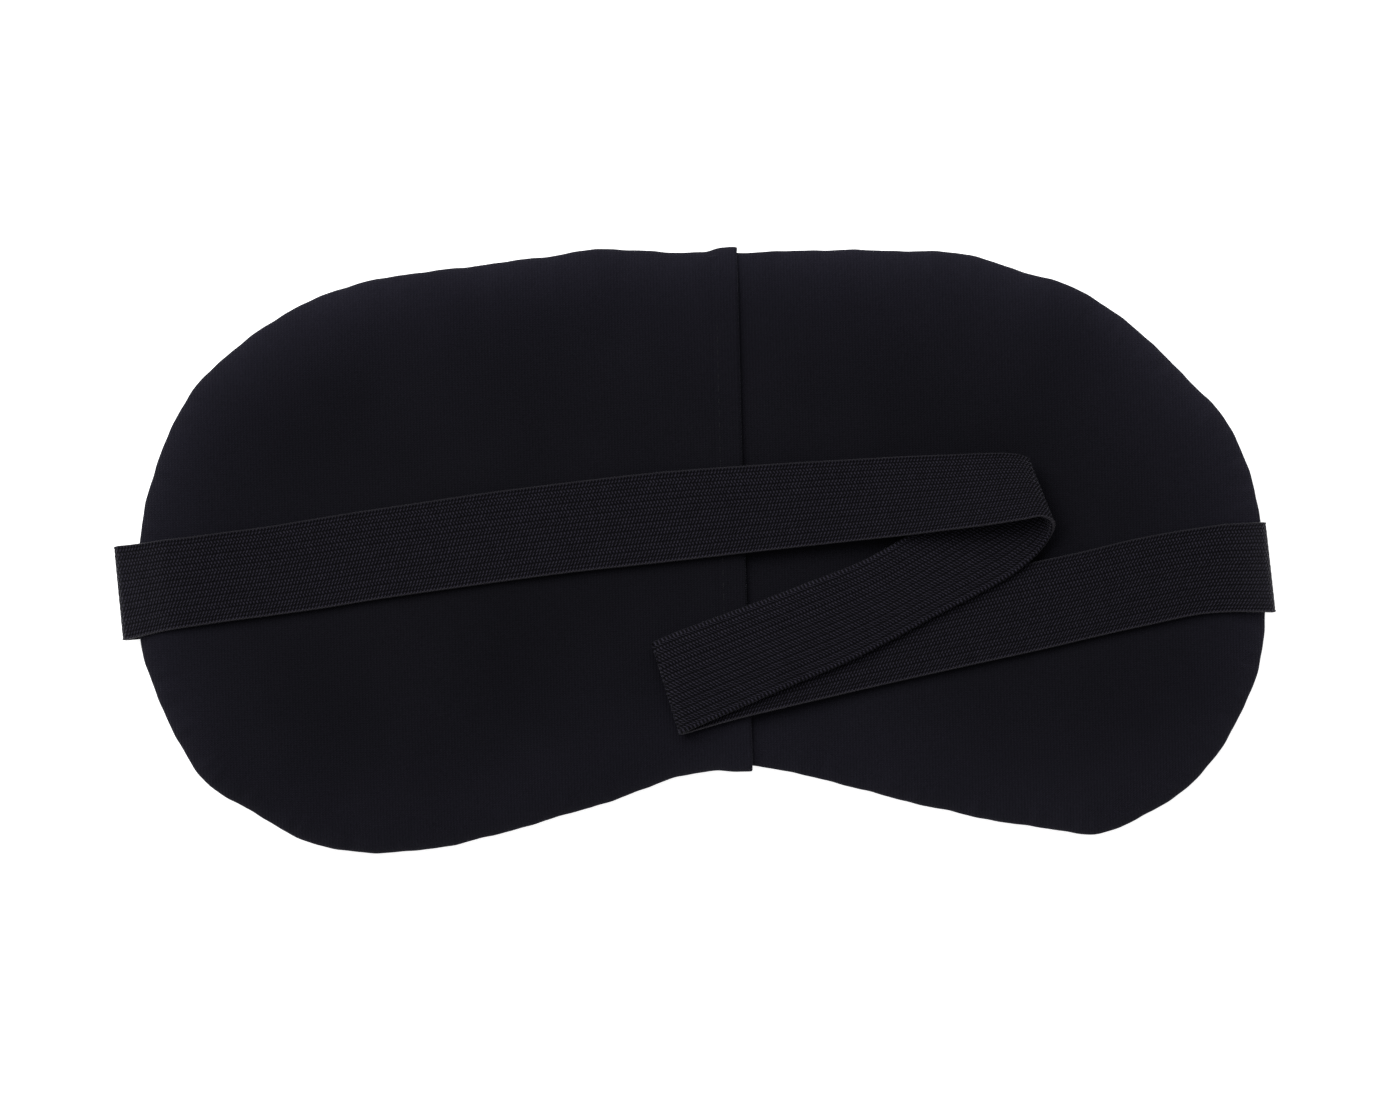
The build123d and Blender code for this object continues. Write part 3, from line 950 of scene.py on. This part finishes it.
def strap_rails():
    """Both edges of the strap as matching rows of points, and where each stretch of it begins."""
    stations = [s for name in strap_stations for s in strap_stations[name]]
    firsts = np.cumsum([0] + [len(strap_stations[name]) for name in strap_stations])
    ends = np.array(stations, float)
    gaps = np.linalg.norm(np.diff(ends, axis=0), axis=2).max(axis=1)
    counts = [max(4, int(np.ceil(g / strap_step))) for g in gaps]
    rails = [through(ends[:, k], counts) for k in (0, 1)]
    at_station = np.concatenate([[0], np.cumsum(counts)])
    return rails, {name: at_station[f] for name, f in zip(strap_stations, firsts)}


(rail_a, rail_b), stretch_start = strap_rails()
rail_run = (run_of(rail_a), run_of(rail_b))
centre_line = (rail_a + rail_b) / 2
centre_run = run_of(centre_line)
left_tip, right_tip = centre_line[:, 0].argmin(), centre_line[:, 0].argmax()
# painted light along the strap near its turns, half as strong at the left turn as at the right
strap_turn_light = (0.5 * np.exp(-abs(centre_run - centre_run[left_tip]) / turn_light_reach)
              + np.exp(-abs(centre_run - centre_run[right_tip]) / turn_light_reach))


def strap_piece(name, first, last):
    """The strap between two rows of its rails, as a closed ribbed band."""
    across_share, face, underside = strap_profile()
    n = len(across_share)
    forward = np.gradient(centre_line, axis=0)
    points, ribbon, painted_light = [], [], []
    for i in range(first, last + 1):
        a, b = rail_a[i], rail_b[i]
        across = b - a
        normal = np.cross(across, forward[i])
        normal /= np.linalg.norm(normal)
        base = a + across_share[:, None] * across
        u = rail_run[0][i] + across_share * (rail_run[1][i] - rail_run[0][i])
        v = across_share * strap_width
        points.append(base + normal * face[:, None])
        points.append((base - normal * underside[:, None])[1:-1][::-1])
        ribbon.append(np.column_stack([u, v, np.ones(n)]))
        ribbon.append(np.column_stack([u, v, -np.ones(n)])[1:-1][::-1])
        painted_light.append(np.full((2 * n - 2, 3), strap_turn_light[i]))
    loop = 2 * n - 2
    faces = []
    rows = last - first + 1
    for r in range(rows - 1):
        for k in range(loop):
            m = (k + 1) % loop
            faces.append((r * loop + k, r * loop + m, (r + 1) * loop + m, (r + 1) * loop + k))
    for base, flip in ((0, True), ((rows - 1) * loop, False)):
        for k in range(n - 1):
            corners = [k, k + 1, (loop - k - 1) % loop, (loop - k) % loop]
            corners = [c for i, c in enumerate(corners) if c != corners[i - 1]]
            cap = [base + c for c in corners]
            faces.append(cap[::-1] if flip else cap)
    obj = piece(name, np.vstack(points), faces, elastic,
                {"ribbon": np.vstack(ribbon), "painted_light": np.vstack(painted_light)})
    with editing(obj) as bm:
        bmesh.ops.recalc_face_normals(bm, faces=bm.faces)
        bm.faces.ensure_lookup_table()
        for cap_face in bm.faces[-2 * (n - 1):]:
            cap_face.smooth = False
            for e in cap_face.edges:
                e.smooth = False
    return obj


def blend_along(obj):
    """Bakes a strap piece's transform and reads its places along the strap; it doesn't bend the piece or
    put it on a body.
    """
    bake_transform(obj)
    u = np.empty(len(obj.data.vertices) * 3)
    obj.data.attributes["ribbon"].data.foreach_get("vector", u)


# ---- the pieces, most of them put on their bodies ----
def flap_weights(points):
    """How far each point of the left panel follows the flap: a bulge between its sewn ends."""
    lift = smooth(points[:, 0], lap_start, lap_edge)
    grows = smooth(points[:, 1], flap_low, flap_low + flap_ease)
    fades = smooth(points[:, 1], flap_high - flap_ease, flap_high)
    return lift * grows * (1 - fades)


def on_flap(obj):
    """Bakes a piece's transform and works out its flap weights, which it doesn't use; the piece is left
    off any body.
    """
    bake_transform(obj)
    flap_weights(points_of(obj))


def build_mask():
    """The cloth panels, the pad and all the thread; all but the left panel and the flap's hem thread on
    the mask's body.
    """
    left = left_panel()
    right = right_panel()
    front = front_panel()
    core = pad()
    for obj in (left, right, front, core):
        keep_rest(obj)
    for obj in (left, right):
        keep_painted_light(obj)
    on_flap(left)
    for obj in (right, front, core):
        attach(obj, "mask")
    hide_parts("back_panel_left", "pocket_flap", "pocket_flap_hem")
    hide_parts("back_panel_right", "right_panel_hem")
    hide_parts("front_panel")
    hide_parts("foam_pad")

    hem_thread = hem_row("flap_hem_thread", lap_edge - hem_width + hem_seam, crown_left)
    on_flap(hem_thread)
    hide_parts("flap_hem_stitches")
    hidden_hem = hem_row("right_hem_thread", lap_start + hem_width - hem_seam, crown_right)
    seam = perimeter_stitches()
    left_tack = tack_rows("strap_tack_left_thread", "strap_tack_left")
    right_tack = tack_rows("strap_tack_right_thread", "strap_tack_right")
    for obj, node in ((hidden_hem, "right_hem_stitches"), (seam, "perimeter_seam_thread"),
                      (left_tack, "strap_tack_left"), (right_tack, "strap_tack_right")):
        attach(obj, "mask")
        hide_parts(node)
    return left, right, front, core, hem_thread, hidden_hem


def build_strap():
    """The strap's five bands, the lower run and the right turn on their bodies, and their lengths."""
    start = stretch_start
    middle_row = (start["middle"] + start["lower"]) // 2
    lower_row = (start["lower"] + start["right_turn"]) // 2
    rows = (0, start["upper"], middle_row, lower_row, start["right_turn"], len(centre_line) - 1)
    spans = list(zip(rows[:-1], rows[1:]))
    lengths = [centre_run[last] - centre_run[first] for first, last in spans]
    names = ("left_turn", "upper", "middle", "lower", "right_turn")
    bands = [strap_piece(f"strap_{name}_elastic", *span) for name, span in zip(names, spans)]
    turn, upper, mid, lower, end = bands

    rising = slice(left_tip, start["upper"])
    blend_along(turn)
    blend_along(upper)
    blend_along(mid)
    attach(lower, "strap_lower")
    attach(end, "mask")
    for obj, node in ((turn, "strap_left_turn"), (upper, "strap_upper_run"), (mid, "strap_middle_run"),
                      (lower, "strap_lower_run"), (end, "strap_right_turn")):
        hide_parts(node)
    return bands, lengths


left, right, front, core, hem_thread, hidden_hem = build_mask()
strap, strap_lengths = build_strap()


# ---- floor, light and camera ----
def white_floor():
    """A pale floor that glows a little."""
    m = bpy.data.materials.new("floor")
    m.use_nodes = True
    shader = m.node_tree.nodes["Principled BSDF"]
    shader.inputs["Base Color"].default_value = (0.9, 0.9, 0.9, 1)
    shader.inputs["Roughness"].default_value = 0.9
    shader.inputs["Emission Color"].default_value = (1, 1, 1, 1)
    shader.inputs["Emission Strength"].default_value = 0.8
    bpy.ops.mesh.primitive_plane_add(size=60, location=(0, 0, -0.0002))
    floor = bpy.context.object
    floor.name = "floor"
    floor.data.materials.append(m)


def soft_light(name, place, size, watts):
    """A large square light that faces the mask."""
    light = bpy.data.lights.new(name, "AREA")
    light.size = size
    light.energy = watts
    lamp = bpy.data.objects.new(name, light)
    lamp.location = place
    lamp.rotation_euler = (-lamp.location).to_track_quat("-Z", "Y").to_euler()
    bpy.context.scene.collection.objects.link(lamp)


def world_light(strength):
    """Even white light from all sides."""
    world = bpy.data.worlds.new("studio")
    world.use_nodes = True
    background = world.node_tree.nodes["Background"]
    background.inputs["Color"].default_value = (1, 1, 1, 1)
    background.inputs["Strength"].default_value = strength
    bpy.context.scene.world = world


def camera():
    """Straight above the mask, turned so that it lies at a slight tilt in the view."""
    distance = 2.4
    view_width = 0.2822
    focus_height = 0.007
    data = bpy.data.cameras.new("camera")
    data.sensor_width = 36
    data.lens = data.sensor_width * distance / view_width
    data.clip_end = 50
    cam = bpy.data.objects.new("camera", data)
    cam.location = (-0.00048, -0.00155, distance + focus_height)
    cam.rotation_euler = (0, 0, radians(-1.4))
    bpy.context.scene.collection.objects.link(cam)
    bpy.context.scene.camera = cam


white_floor()
world_light(0.38)
soft_light("key_softbox", (-0.7, 0.8, 1.2), 1.2, 26)
soft_light("back_softbox", (0.35, 1.0, 0.9), 0.8, 6)
camera()
bpy.context.scene.view_settings.view_transform = "Standard"
